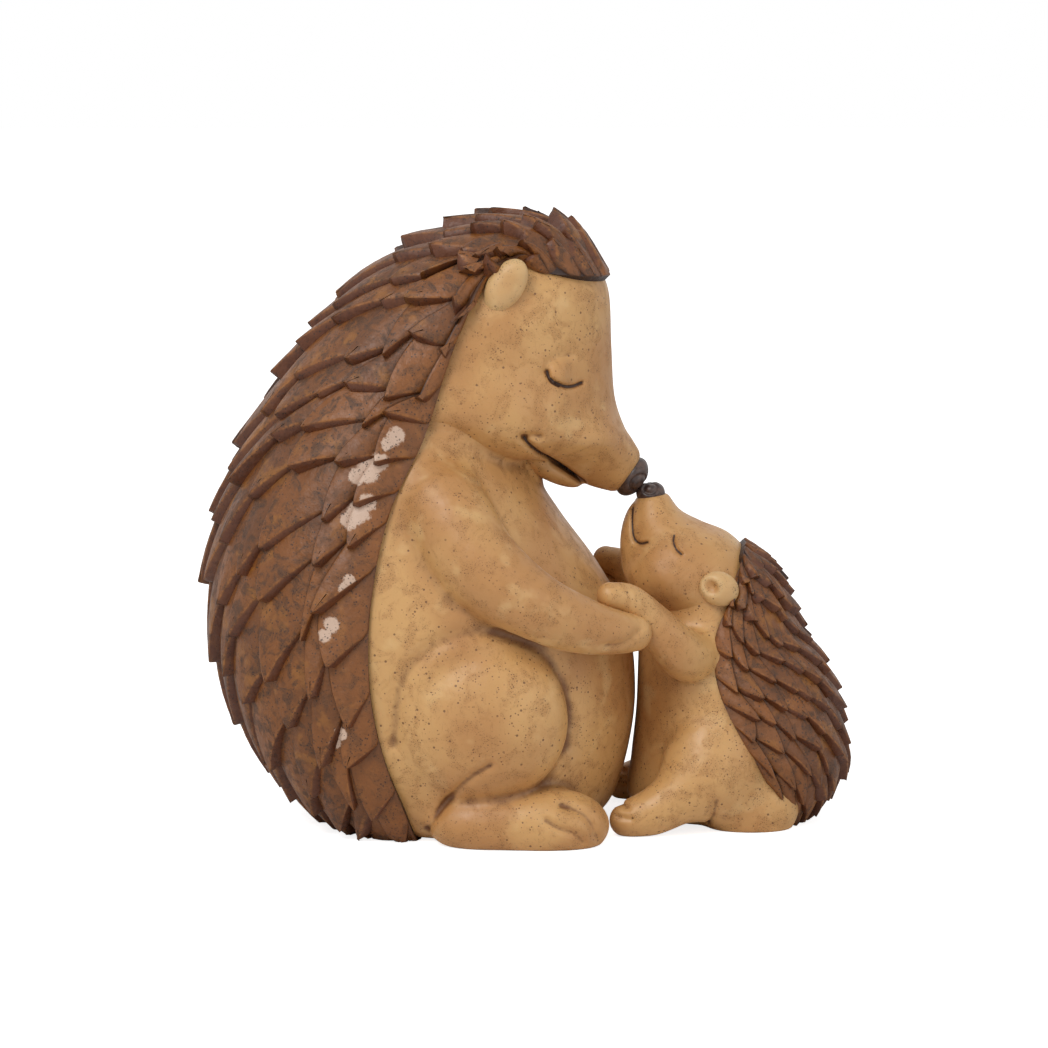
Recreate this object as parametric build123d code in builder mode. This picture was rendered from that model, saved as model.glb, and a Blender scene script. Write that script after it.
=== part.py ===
from build123d import *

import os
from math import atan2, cos, degrees, hypot, pi, radians, sin

# A mother hedgehog sits upright and bends her nose down to the baby that faces her. Both are
# resin castings in sections: a body, a head, a coat of overlapping quills, limbs and small
# face parts. Each section seats face to face on the larger one that carries it.
# The frame: +X runs from the mother to the baby, +Z is up, and Y = 0 is the plane of symmetry.
# The origin is on the surface that they sit on, under the middle of the pair.
# Lengths are in millimetres.

# Sizes of the mother
mother_height = 154.0
mother_width = 94.0
mother_quill_lift = 2.4
mother_quill_end_lift = 1.6
mother_ear_length = 14.8
mother_ear_width = 8.8
mother_ear_thickness = 7.0
mother_eyelid_length = 9.6
mother_eyelid_height = 6.4
mother_eyelid_depth = 4.2
mother_jaw_length = 19.0
mother_jaw_width = 17.0
mother_jaw_depth = 7.0
mother_arm_radius = 11.5
mother_haunch_length = 45.0
mother_haunch_height = 43.0
mother_haunch_depth = 24.0
mother_foot_length = 45.0
mother_foot_width = 18.8
mother_foot_height = 14.4

# Sizes of the baby. It reaches up until its snout ends at a share of the mother's height,
# just under her nose, so its own height follows from that.
snout_meeting_share = 0.5333
baby_snout_share = 0.955
baby_height = snout_meeting_share * mother_height / baby_snout_share
baby_width = 49.0
baby_quill_lift = 1.5
baby_quill_end_lift = 0.9
baby_ear_length = 9.2
baby_ear_width = 7.4
baby_ear_thickness = 5.6
baby_eyelid_length = 6.4
baby_eyelid_height = 4.4
baby_eyelid_depth = 3.0
baby_jaw_length = 11.0
baby_jaw_width = 9.0
baby_jaw_depth = 4.6
baby_arm_radius = 6.8
baby_haunch_length = 25.0
baby_haunch_height = 25.0
baby_haunch_depth = 15.0
baby_foot_length = 26.0
baby_foot_width = 13.0
baby_foot_height = 10.6

# The gap between the two bellies, and how far a cut runs past what it cuts
belly_gap = 0.35
overrun = 20.0

# Angles from the middle at which a rounded piece has its rings
rounded_angles = range(-78, 79, 26)

# The quills lie in rows across the coat, half a column apart from one row to the next. The
# half columns are counted from the spine to the coat's edge on each side.
mother_half_columns = 7
baby_half_columns = 11

# Where every other row of quills starts at the spine and ends at the coat's edge, from the
# brow or nape down to the foot of the back: x and z of each end are shares of the height, the
# half width at the edge is a share of the width.
mother_coat_shares = [
    (0.136, 0.890, 0.023, 0.903, 0.197),
    (0.062, 0.964, -0.039, 0.923, 0.215),
    (-0.039, 0.977, -0.077, 0.877, 0.257),
    (-0.143, 0.950, -0.118, 0.779, 0.311),
    (-0.231, 0.903, -0.145, 0.695, 0.330),
    (-0.305, 0.831, -0.166, 0.638, 0.356),
    (-0.372, 0.747, -0.190, 0.591, 0.391),
    (-0.429, 0.653, -0.213, 0.539, 0.413),
    (-0.474, 0.555, -0.232, 0.468, 0.436),
    (-0.500, 0.451, -0.245, 0.381, 0.452),
    (-0.504, 0.344, -0.248, 0.296, 0.459),
    (-0.485, 0.240, -0.240, 0.213, 0.454),
    (-0.440, 0.140, -0.221, 0.134, 0.432),
    (-0.372, 0.055, -0.195, 0.062, 0.401),
    (-0.299, 0.000, -0.175, 0.000, 0.319),
]
baby_coat_shares = [
    (0.006, 0.819, -0.015, 0.756, 0.224),
    (0.095, 0.719, -0.076, 0.605, 0.388),
    (0.145, 0.588, -0.088, 0.465, 0.447),
    (0.227, 0.460, -0.052, 0.363, 0.478),
    (0.283, 0.319, 0.006, 0.263, 0.482),
    (0.290, 0.163, 0.069, 0.144, 0.424),
    (0.173, 0.000, 0.106, 0.000, 0.250),
]

# Rings from the base up to the neck, or from the neck or crown to the nose. Each is an ellipse
# across the side view: its left x and z and its right x and z are shares of the height, its
# half width is a share of the width.
mother_torso_shares = [
    (-0.286, 0.000, 0.108, 0.000, 0.335),
    (-0.351, 0.045, 0.144, 0.045, 0.391),
    (-0.429, 0.130, 0.169, 0.130, 0.439),
    (-0.468, 0.221, 0.178, 0.221, 0.461),
    (-0.481, 0.325, 0.165, 0.325, 0.465),
    (-0.481, 0.416, 0.119, 0.416, 0.445),
    (-0.455, 0.500, 0.058, 0.500, 0.415),
    (-0.416, 0.584, 0.003, 0.584, 0.385),
    (-0.364, 0.662, -0.039, 0.662, 0.335),
]
mother_head_shares = [
    (-0.208, 0.935, 0.110, 0.916, 0.202),
    (-0.292, 0.831, 0.133, 0.864, 0.271),
    (-0.377, 0.753, 0.138, 0.773, 0.298),
    (-0.390, 0.660, 0.143, 0.695, 0.311),
    (-0.045, 0.614, 0.158, 0.646, 0.223),
    (0.032, 0.588, 0.173, 0.621, 0.149),
    (0.097, 0.562, 0.183, 0.604, 0.087),
    (0.152, 0.539, 0.188, 0.592, 0.052),
]
baby_torso_shares = [
    (-0.256, 0.000, 0.150, 0.000, 0.276),
    (-0.330, 0.070, 0.209, 0.070, 0.388),
    (-0.321, 0.186, 0.256, 0.186, 0.455),
    (-0.307, 0.326, 0.256, 0.326, 0.465),
    (-0.302, 0.465, 0.186, 0.465, 0.429),
    (-0.297, 0.581, 0.116, 0.581, 0.378),
    (-0.267, 0.674, 0.058, 0.674, 0.316),
]
baby_head_shares = [
    (-0.221, 0.581, 0.093, 0.581, 0.265),
    (-0.302, 0.651, 0.070, 0.674, 0.347),
    (-0.345, 0.721, 0.029, 0.767, 0.353),
    (-0.334, 0.791, -0.035, 0.837, 0.302),
    (-0.326, 0.849, -0.114, 0.872, 0.224),
    (-0.322, 0.901, -0.179, 0.907, 0.147),
    (-0.308, 0.950, -0.220, 0.960, 0.084),
]

# Small parts of the face: x, y and z of the middle as shares of height, width and height
mother_jaw_shares = (0.046, 0.0, 0.583)
mother_ear_shares = (-0.032, 0.244, 0.885)
mother_eyelid_shares = (0.064, 0.236, 0.742)
baby_jaw_shares = (-0.322, 0.0, 0.845)
baby_ear_shares = (-0.072, 0.352, 0.700)
baby_eyelid_shares = (-0.192, 0.345, 0.822)

# A nose caps the end of its snout: its width as a share of the snout's, and its depth as a
# share of the snout's height there
nose_width_share = 0.96
mother_nose_depth_share = 0.66
baby_nose_depth_share = 0.82

# How far each small part leans from upright in the side view, in degrees towards +X
mother_jaw_lean = 38.0
mother_ear_lean = 33.0
mother_eyelid_lean = 10.0
baby_jaw_lean = 100.0
baby_ear_lean = 20.0
baby_eyelid_lean = 60.0

# Arms from the shoulder to the paw: x, y and z as shares of height, width and height, and
# the radius as a share of the arm's own at the shoulder
mother_arm_shares = [
    (-0.195, 0.277, 0.591, 0.78),
    (-0.140, 0.351, 0.539, 1.00),
    (-0.071, 0.394, 0.455, 0.92),
    (0.006, 0.415, 0.393, 0.78),
    (0.084, 0.394, 0.357, 0.63),
    (0.143, 0.362, 0.343, 0.46),
]
baby_arm_shares = [
    (-0.110, 0.265, 0.520, 0.92),
    (-0.151, 0.408, 0.517, 1.00),
    (-0.209, 0.480, 0.552, 0.88),
    (-0.281, 0.530, 0.628, 0.72),
    (-0.340, 0.582, 0.694, 0.58),
]
# The baby's paw lies on the mother's wrist, a little inside it: y as a share of her width and
# the radius as a share of the baby's own at the elbow
baby_paw_side_share = 0.034
baby_paw_radius_share = 0.46
baby_paw_seat_share = 0.94

# Haunches and feet: x, y and z of the haunch's middle, then x of the heel and y of the foot
mother_haunch_shares = (-0.075, 0.383, 0.195)
mother_heel_share, mother_foot_side_share = -0.159, 0.415
baby_haunch_shares = (-0.087, 0.388, 0.200)
baby_heel_share, baby_foot_side_share = -0.080, 0.490
# Rings of a foot from the heel to the toes: shares of its length, then of its width to the
# side, then the middle's height as a share of its height, and its half width and half height
foot_shares = [
    (0.00, 0.10, 0.28, 0.10, 0.17),
    (0.10, 0.06, 0.38, 0.37, 0.45),
    (0.37, 0.03, 0.45, 0.45, 0.54),
    (0.66, 0.00, 0.43, 0.49, 0.52),
    (0.84, 0.00, 0.38, 0.50, 0.46),
    (0.95, 0.02, 0.31, 0.41, 0.36),
    (1.00, 0.04, 0.25, 0.19, 0.20),
]

# The baby's middle stands off the mother's belly by its own reach to the front
belly_front_share = max(row[2] for row in mother_torso_shares)
baby_front_share = 0.3065
baby_x = belly_front_share * mother_height + belly_gap + baby_front_share * baby_height


def ring_sizes(shares, height, width, middle_x=0.0):
    """Left x and z, right x and z, and half width of each ring, in millimetres."""
    return [
        (
            middle_x + left_x * height,
            left_z * height,
            middle_x + right_x * height,
            right_z * height,
            half * width,
        )
        for left_x, left_z, right_x, right_z, half in shares
    ]


def ring_sketches(rings):
    """One ellipse for each ring, in the plane through its left and right points."""
    sketches = []
    for left_x, left_z, right_x, right_z, half in rings:
        along = Vector(right_x - left_x, 0, right_z - left_z)
        middle = Vector(left_x + right_x, 0, left_z + right_z) / 2
        plane = Plane(origin=middle, x_dir=along, z_dir=along.cross(Vector(0, -1, 0)))
        with BuildSketch(plane) as sketch:
            Ellipse(along.length / 2, half)
        sketches.append(sketch.sketch)
    return sketches


def ring_at(rings, share):
    """The ring that lies a share of the way down, on a smooth curve through the others."""
    last = len(rings) - 1
    index = min(int(share * last), last - 1)
    part = share * last - index
    before, start, end, after = (
        rings[min(max(index + step, 0), last)] for step in (-1, 0, 1, 2)
    )
    return [
        b
        + (c - a) * part / 2
        + (2 * a - 5 * b + 4 * c - d) * part**2 / 2
        + (3 * b - a - 3 * c + d) * part**3 / 2
        for a, b, c, d in zip(before, start, end, after)
    ]


def coat_point(rows, place, turn, lift):
    """A point of the coat, lifted off it in the plane of its row.

    The row is a quarter of an ellipse on each side, from the spine, where the turn is 0, to
    the edge, where it is a quarter turn.
    """
    spine_x, spine_z, edge_x, edge_z, half = ring_at(rows, place)
    out = Vector(spine_x - edge_x, 0, spine_z - edge_z)
    reach = out.length
    slope = hypot(half * cos(turn), reach * sin(turn))
    along = reach * cos(turn) + lift * half * cos(turn) / slope
    side = half * sin(turn) + lift * reach * sin(turn) / slope
    return Vector(edge_x, side, edge_z) + out.normalized() * along


def quilled_solid(rows, half_columns, lift, end_lift):
    """A solid behind the coat's edge, covered with overlapping pointed quills.

    Each quill is a leaning plate with its tip highest. Its inner side runs two rows up to its
    low root, and its raised side runs one row up towards the edge, on top of a short wall. In
    front, the solid is flat from one side to the other.
    """
    last_row = 2 * (len(rows) - 1)

    def point(row, column, height):
        turn = pi / 2 * column / half_columns
        return coat_point(rows, row / last_row, turn, height if row > 0 else 0)

    outlines = []
    for side in (-1, 1):
        for corners in quill_faces(last_row, half_columns, lift, end_lift):
            points = [point(row, side * column, height) for row, column, height in corners]
            if is_triangle(*points):
                outlines.append(points[::side])
    ends = [point(last_row, column, end_lift) for column in (1, -1)]
    outlines.append((point(0, -1, 0), point(0, 1, 0), point(1, 0, lift)))
    outlines.append((*ends, point(last_row - 1, 0, 0)))

    across = range(-half_columns, half_columns + 1, 2)
    outlines.append([point(0, column, 0) for column in across])
    base = []
    for column in range(1, half_columns + 1, 2):
        base.append(point(last_row, column, end_lift))
        if column < half_columns:
            base.append(point(last_row, column, 0))
    outlines.append(base + [Vector(p.X, -p.Y, p.Z) for p in reversed(base)])
    for row in range(2, last_row + 1, 2):
        near = [point(row - 2, -half_columns, 0), point(row, -half_columns, end_lift)]
        if row < last_row:
            near.append(point(row, -half_columns, 0))
        outlines.append(near + [Vector(p.X, -p.Y, p.Z) for p in reversed(near)])
    return Solid(Shell([Face(Wire.make_polygon(outline)) for outline in outlines]))


def quill_faces(last_row, half_columns, lift, end_lift):
    """Triangles of the quills on one side: the row, half column and height of each corner."""
    faces = []
    for row in range(1, last_row + 1):
        for column in range((row + 1) % 2, half_columns, 2):
            tip, step, foot = ((row, column, height) for height in (lift, end_lift, 0))
            end, end_foot = ((row - 1, column + 1, height) for height in (end_lift, 0))
            root = (row - 2, column, 0) if row > 1 else (0, column - 1, 0)
            if column > 0:
                faces += [(tip, root, step), (step, foot, end), (tip, step, end)]
            else:
                faces.append((tip, foot, end))
            faces.append((foot, end_foot, end))
            if row > 1:
                faces.append((tip, end, root))
            elif column > 0:
                faces.append((tip, end_foot, root))
            if row > 2:
                faces.append((end, (row - 3, column + 1, 0), root))
    for column in range(0, half_columns, 2):
        low, end = (last_row - 1, column, 0), (last_row, column + 1, end_lift)
        faces.append((end, (last_row - 2, column + 1, 0), low))
        if column > 0:
            faces.append(((last_row, column - 1, 0), end, low))
    return faces


def is_triangle(a, b, c):
    """False where two corners fall together, as they do in the first row."""
    return min((a - b).length, (b - c).length, (c - a).length) > 0


def edge_points(rows):
    """The coat's edge in the side view, from the brow or nape to the base."""
    return [(edge_x, edge_z) for spine_x, spine_z, edge_x, edge_z, half in rows]


def placed(shares, height, width, lean, middle_x=0.0):
    """A location on the right-hand side of the body, leaning towards +X in the side view."""
    x, y, z = shares
    return Location((middle_x + x * height, -y * width, z * height), (0, lean, 0))


def rounded(location, length, width, thickness):
    """An ellipsoid of that size along the location's x, y and z, with its ends in x cut flat."""
    middle = Plane(location)
    sketches = []
    for angle in rounded_angles:
        origin = middle.origin + middle.x_dir * (length / 2 * sin(radians(angle)))
        reach = cos(radians(angle)) / 2
        plane = Plane(origin=origin, x_dir=middle.y_dir, z_dir=middle.x_dir)
        with BuildSketch(plane) as sketch:
            Ellipse(width * reach, thickness * reach)
        sketches.append(sketch.sketch)
    loft(sketches)


def nose_on(snout_end, depth_share):
    """An ellipsoid whose middle lies on the flat end of a snout, which it faces out of."""
    left_x, left_z, right_x, right_z, half = snout_end
    along = Vector(right_x - left_x, 0, right_z - left_z)
    middle = Vector(left_x + right_x, 0, left_z + right_z) / 2
    lean = degrees(atan2(-along.Z, along.X))
    height = along.length * nose_width_share
    rounded(
        Location(middle, (0, lean, 0)), height, 2 * half * nose_width_share, depth_share * along.length
    )


def limb_points(shares, height, width, radius, middle_x=0.0):
    """Points and radii along a limb on the right-hand side."""
    return [
        (Vector(middle_x + x * height, -y * width, z * height), r * radius)
        for x, y, z, r in shares
    ]


def limb(points):
    """A limb through circles, each square to the line through its neighbours, with a round end."""
    last = len(points) - 1
    sketches = []
    for index, (point, radius) in enumerate(points):
        before, after = points[max(index - 1, 0)][0], points[min(index + 1, last)][0]
        along = after - before
        level = Vector(0, 0, 1).cross(along)
        with BuildSketch(Plane(origin=point, x_dir=level, z_dir=along)) as sketch:
            Circle(radius)
        sketches.append(sketch.sketch)
    with BuildPart() as whole:
        loft(sketches)
        with Locations(points[-1][0]):
            Sphere(points[-1][1])
    add(whole.part)


def foot_sketches(heel_x, side_y, length, width, height):
    """Ellipses from the heel to the toes. A negative length points the toes towards -X."""
    sketches = []
    for along, aside, middle, half_width, half_height in foot_shares:
        origin = (heel_x + along * length, -side_y + aside * width, middle * height)
        with BuildSketch(Plane(origin=origin, x_dir=(0, 1, 0), z_dir=(1, 0, 0))) as sketch:
            Ellipse(half_width * width, half_height * height)
        sketches.append(sketch.sketch)
    return sketches


# The space in front of each coat's edge and under its first row, right across the figure
mother_coat_rows = ring_sizes(mother_coat_shares, mother_height, mother_width)
baby_coat_rows = ring_sizes(baby_coat_shares, baby_height, baby_width, baby_x)

with BuildPart() as mother_front_space:
    with BuildSketch(Plane.XZ):
        with BuildLine():
            edge = edge_points(mother_coat_rows)
            brow = mother_coat_rows[0][:2]
            Polyline(
                brow,
                *edge,
                (edge[-1][0], -overrun),
                (mother_height, -overrun),
                (mother_height, brow[1]),
                brow,
            )
        make_face()
    extrude(amount=mother_width, both=True)

with BuildPart() as baby_front_space:
    with BuildSketch(Plane.XZ):
        with BuildLine():
            edge = edge_points(baby_coat_rows)
            nape = baby_coat_rows[0][:2]
            Polyline(
                (nape[0], baby_height + overrun),
                nape,
                *edge,
                (edge[-1][0], -overrun),
                (baby_x - baby_height, -overrun),
                (baby_x - baby_height, baby_height + overrun),
                (nape[0], baby_height + overrun),
            )
        make_face()
    extrude(amount=baby_width, both=True)

# Bodies and heads, each cut back to its own side of the coat's edge
with BuildPart() as mother_torso:
    loft(ring_sketches(ring_sizes(mother_torso_shares, mother_height, mother_width)))
    add(mother_front_space.part, mode=Mode.INTERSECT)

with BuildPart() as mother_head:
    loft(ring_sketches(ring_sizes(mother_head_shares, mother_height, mother_width)))
    add(mother_front_space.part, mode=Mode.INTERSECT)
    add(mother_torso.part, mode=Mode.SUBTRACT)

with BuildPart() as baby_torso:
    loft(ring_sketches(ring_sizes(baby_torso_shares, baby_height, baby_width, baby_x)))
    add(baby_front_space.part, mode=Mode.INTERSECT)
    add(mother_torso.part, mode=Mode.SUBTRACT)

with BuildPart() as baby_head:
    loft(ring_sketches(ring_sizes(baby_head_shares, baby_height, baby_width, baby_x)))
    add(baby_front_space.part, mode=Mode.INTERSECT)
    add(baby_torso.part, mode=Mode.SUBTRACT)

# Coats of quills, behind their edges
with BuildPart() as mother_quill_coat:
    add(
        quilled_solid(
            mother_coat_rows, mother_half_columns, mother_quill_lift, mother_quill_end_lift
        )
    )

with BuildPart() as baby_quill_coat:
    add(quilled_solid(baby_coat_rows, baby_half_columns, baby_quill_lift, baby_quill_end_lift))

# Faces: nose, lower jaw, ears and closed eyelids
with BuildPart() as mother_nose:
    mother_head_rings = ring_sizes(mother_head_shares, mother_height, mother_width)
    nose_on(mother_head_rings[-1], mother_nose_depth_share)
    add(mother_head.part, mode=Mode.SUBTRACT)

with BuildPart() as mother_lower_jaw:
    place = placed(mother_jaw_shares, mother_height, mother_width, mother_jaw_lean)
    rounded(place, mother_jaw_length, mother_jaw_width, mother_jaw_depth)
    add([mother_head.part, mother_torso.part], mode=Mode.SUBTRACT)

with BuildPart() as mother_right_ear:
    place = placed(mother_ear_shares, mother_height, mother_width, mother_ear_lean)
    rounded(place, mother_ear_width, mother_ear_thickness, mother_ear_length)
    add(mother_front_space.part, mode=Mode.INTERSECT)
    add(mother_head.part, mode=Mode.SUBTRACT)

with BuildPart() as mother_right_eyelid:
    place = placed(mother_eyelid_shares, mother_height, mother_width, mother_eyelid_lean)
    rounded(place, mother_eyelid_length, mother_eyelid_depth, mother_eyelid_height)
    add(mother_head.part, mode=Mode.SUBTRACT)

with BuildPart() as baby_nose:
    baby_head_rings = ring_sizes(baby_head_shares, baby_height, baby_width, baby_x)
    nose_on(baby_head_rings[-1], baby_nose_depth_share)
    add(baby_head.part, mode=Mode.SUBTRACT)

with BuildPart() as baby_lower_jaw:
    place = placed(baby_jaw_shares, baby_height, baby_width, baby_jaw_lean, baby_x)
    rounded(place, baby_jaw_length, baby_jaw_width, baby_jaw_depth)
    add(baby_head.part, mode=Mode.SUBTRACT)

with BuildPart() as baby_left_ear:
    place = placed(baby_ear_shares, baby_height, baby_width, baby_ear_lean, baby_x)
    rounded(place, baby_ear_width, baby_ear_thickness, baby_ear_length)
    add(baby_front_space.part, mode=Mode.INTERSECT)
    add([baby_head.part, baby_torso.part], mode=Mode.SUBTRACT)

with BuildPart() as baby_left_eyelid:
    place = placed(baby_eyelid_shares, baby_height, baby_width, baby_eyelid_lean, baby_x)
    rounded(place, baby_eyelid_length, baby_eyelid_depth, baby_eyelid_height)
    add(baby_head.part, mode=Mode.SUBTRACT)

# Arms: the mother holds the baby's arms, and the baby's paws lie on her forearms
mother_arm = limb_points(mother_arm_shares, mother_height, mother_width, mother_arm_radius)
wrist, wrist_radius = mother_arm[-1]
baby_arm = limb_points(baby_arm_shares, baby_height, baby_width, baby_arm_radius, baby_x)
paw_radius = baby_paw_radius_share * baby_arm_radius
paw_seat = (0, baby_paw_side_share * mother_width, wrist_radius + baby_paw_seat_share * paw_radius)
baby_arm.append((wrist + Vector(paw_seat), paw_radius))

with BuildPart() as mother_right_arm:
    limb(mother_arm)
    add(mother_front_space.part, mode=Mode.INTERSECT)
    add([mother_torso.part, mother_head.part], mode=Mode.SUBTRACT)

with BuildPart() as baby_left_arm:
    limb(baby_arm)
    add(baby_front_space.part, mode=Mode.INTERSECT)
    add([baby_torso.part, baby_head.part, mother_right_arm.part], mode=Mode.SUBTRACT)

# Legs: a round haunch on each side, and a foot that lies flat under it
with BuildPart() as mother_right_haunch:
    place = placed(mother_haunch_shares, mother_height, mother_width, 0)
    rounded(place, mother_haunch_length, mother_haunch_depth, mother_haunch_height)
    add(mother_front_space.part, mode=Mode.INTERSECT)
    add([mother_torso.part, mother_right_arm.part], mode=Mode.SUBTRACT)
    split(bisect_by=Plane.XY, keep=Keep.TOP)

with BuildPart() as mother_right_foot:
    loft(
        foot_sketches(
            mother_heel_share * mother_height,
            mother_foot_side_share * mother_width,
            mother_foot_length,
            mother_foot_width,
            mother_foot_height,
        )
    )
    split(bisect_by=Plane.XY, keep=Keep.TOP)
    add([mother_torso.part, mother_right_haunch.part], mode=Mode.SUBTRACT)

with BuildPart() as baby_left_haunch:
    place = placed(baby_haunch_shares, baby_height, baby_width, 0, baby_x)
    rounded(place, baby_haunch_length, baby_haunch_depth, baby_haunch_height)
    add(baby_front_space.part, mode=Mode.INTERSECT)
    add([baby_torso.part, baby_left_arm.part], mode=Mode.SUBTRACT)
    split(bisect_by=Plane.XY, keep=Keep.TOP)

with BuildPart() as baby_left_foot:
    loft(
        foot_sketches(
            baby_x + baby_heel_share * baby_height,
            baby_foot_side_share * baby_width,
            -baby_foot_length,
            baby_foot_width,
            baby_foot_height,
        )
    )
    split(bisect_by=Plane.XY, keep=Keep.TOP)
    add([baby_torso.part, baby_left_haunch.part, mother_torso.part], mode=Mode.SUBTRACT)

# The side that the mother and the baby turn away is the mirror image of the one in view
pieces = {
    "mother_torso": mother_torso.part,
    "mother_head": mother_head.part,
    "mother_quill_coat": mother_quill_coat.part,
    "mother_nose": mother_nose.part,
    "mother_lower_jaw": mother_lower_jaw.part,
    "baby_torso": baby_torso.part,
    "baby_head": baby_head.part,
    "baby_quill_coat": baby_quill_coat.part,
    "baby_nose": baby_nose.part,
    "baby_lower_jaw": baby_lower_jaw.part,
}
mother_pairs = {
    "ear": mother_right_ear,
    "eyelid": mother_right_eyelid,
    "arm": mother_right_arm,
    "haunch": mother_right_haunch,
    "foot": mother_right_foot,
}
baby_pairs = {
    "ear": baby_left_ear,
    "eyelid": baby_left_eyelid,
    "arm": baby_left_arm,
    "haunch": baby_left_haunch,
    "foot": baby_left_foot,
}
for kind, piece in mother_pairs.items():
    pieces[f"mother_right_{kind}"] = piece.part
    pieces[f"mother_left_{kind}"] = mirror(piece.part, about=Plane.XZ)
for kind, piece in baby_pairs.items():
    pieces[f"baby_left_{kind}"] = piece.part
    pieces[f"baby_right_{kind}"] = mirror(piece.part, about=Plane.XZ)

os.makedirs("parts", exist_ok=True)
for name, part in pieces.items():
    part.label = name
    export_step(part, f"parts/{name}.step")
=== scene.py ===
import math

import bpy
import numpy as np
import openvdb
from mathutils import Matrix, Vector


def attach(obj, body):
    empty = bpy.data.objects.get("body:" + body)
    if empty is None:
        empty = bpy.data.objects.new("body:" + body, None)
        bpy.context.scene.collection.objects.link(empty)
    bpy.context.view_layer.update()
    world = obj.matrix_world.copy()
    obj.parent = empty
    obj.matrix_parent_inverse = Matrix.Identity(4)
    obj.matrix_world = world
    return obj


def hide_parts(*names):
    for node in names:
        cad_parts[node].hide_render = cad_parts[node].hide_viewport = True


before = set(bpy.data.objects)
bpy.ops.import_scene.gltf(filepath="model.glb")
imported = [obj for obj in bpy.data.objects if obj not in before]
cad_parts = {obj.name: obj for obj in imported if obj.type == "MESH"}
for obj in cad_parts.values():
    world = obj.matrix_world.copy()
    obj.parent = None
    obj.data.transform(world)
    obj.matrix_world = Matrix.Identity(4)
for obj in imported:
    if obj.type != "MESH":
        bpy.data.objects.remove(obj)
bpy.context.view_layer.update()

# A resin figurine: a mother hedgehog who sits and bends nose to nose with her baby. The tan
# parts are sculpted as smooth blended forms, and the coats are rows of overlapping plates.
# Lengths are in millimetres until a mesh is made, in the frame of the model: +X from the mother
# to the baby, +Z up, Y = 0 the plane of symmetry. Both sides are alike, so places are given on
# the near side, where y is negative.

MM = 0.001

# Each animal's height and width, and where its middle is along x
MOTHER_SIZE = (154.0, 94.0, 0.0)
BABY_SIZE = (86.0, 49.0, 54.1)

# Rings of the bodies and heads: left x and z, right x and z as shares of the height, and the
# half width as a share of the width
MOTHER_TORSO_SHARES = [
    (-0.286, 0.000, 0.108, 0.000, 0.335),
    (-0.351, 0.045, 0.144, 0.045, 0.391),
    (-0.429, 0.130, 0.169, 0.130, 0.439),
    (-0.468, 0.221, 0.178, 0.221, 0.461),
    (-0.481, 0.325, 0.165, 0.325, 0.465),
    (-0.481, 0.416, 0.119, 0.416, 0.445),
    (-0.455, 0.500, 0.058, 0.500, 0.415),
    (-0.416, 0.584, 0.003, 0.584, 0.385),
    (-0.364, 0.662, -0.039, 0.662, 0.335),
]
MOTHER_HEAD_SHARES = [
    (-0.208, 0.935, 0.110, 0.916, 0.202),
    (-0.292, 0.831, 0.133, 0.864, 0.271),
    (-0.377, 0.753, 0.138, 0.773, 0.298),
    (-0.390, 0.660, 0.143, 0.695, 0.311),
    (-0.045, 0.614, 0.158, 0.646, 0.223),
    (0.030, 0.586, 0.173, 0.621, 0.149),
    (0.094, 0.551, 0.183, 0.604, 0.087),
    (0.148, 0.535, 0.188, 0.592, 0.052),
]
BABY_TORSO_SHARES = [
    (-0.256, 0.000, 0.150, 0.000, 0.276),
    (-0.330, 0.070, 0.209, 0.070, 0.388),
    (-0.321, 0.186, 0.256, 0.186, 0.455),
    (-0.307, 0.326, 0.256, 0.326, 0.465),
    (-0.302, 0.465, 0.186, 0.465, 0.429),
    (-0.297, 0.581, 0.116, 0.581, 0.378),
    (-0.267, 0.674, 0.058, 0.674, 0.316),
]
BABY_HEAD_SHARES = [
    (-0.221, 0.581, 0.093, 0.581, 0.265),
    (-0.302, 0.651, 0.070, 0.674, 0.347),
    (-0.345, 0.721, 0.029, 0.767, 0.353),
    (-0.334, 0.791, -0.035, 0.837, 0.302),
    (-0.326, 0.849, -0.114, 0.872, 0.224),
    (-0.322, 0.901, -0.179, 0.907, 0.147),
    (-0.308, 0.950, -0.220, 0.960, 0.084),
]

# Limbs from the body to the paw: x, y, z and radius
MOTHER_ARM = [
    (-27.0, -24.0, 89.0, 8.0),
    (-20.5, -32.0, 82.5, 10.8),
    (-11.5, -38.5, 70.0, 10.3),
    (1.0, -40.5, 60.4, 8.7),
    (13.5, -37.0, 54.8, 6.9),
    (22.0, -33.5, 52.6, 5.4),
    (26.2, -31.0, 52.0, 4.6),
]
BABY_ARM = [
    (44.5, -14.0, 44.6, 6.2),
    (40.0, -19.6, 44.4, 6.5),
    (36.5, -23.6, 47.6, 5.8),
    (30.4, -26.0, 54.2, 4.9),
    (25.2, -28.6, 59.6, 4.0),
    (20.5, -30.8, 61.2, 3.3),
]
BABY_LEG = [
    (44.0, -20.0, 14.0, 8.4),
    (37.5, -21.8, 9.4, 6.8),
    (31.5, -23.0, 6.0, 5.8),
    (27.0, -23.6, 4.6, 5.0),
    (24.8, -23.8, 4.0, 4.2),
]

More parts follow.
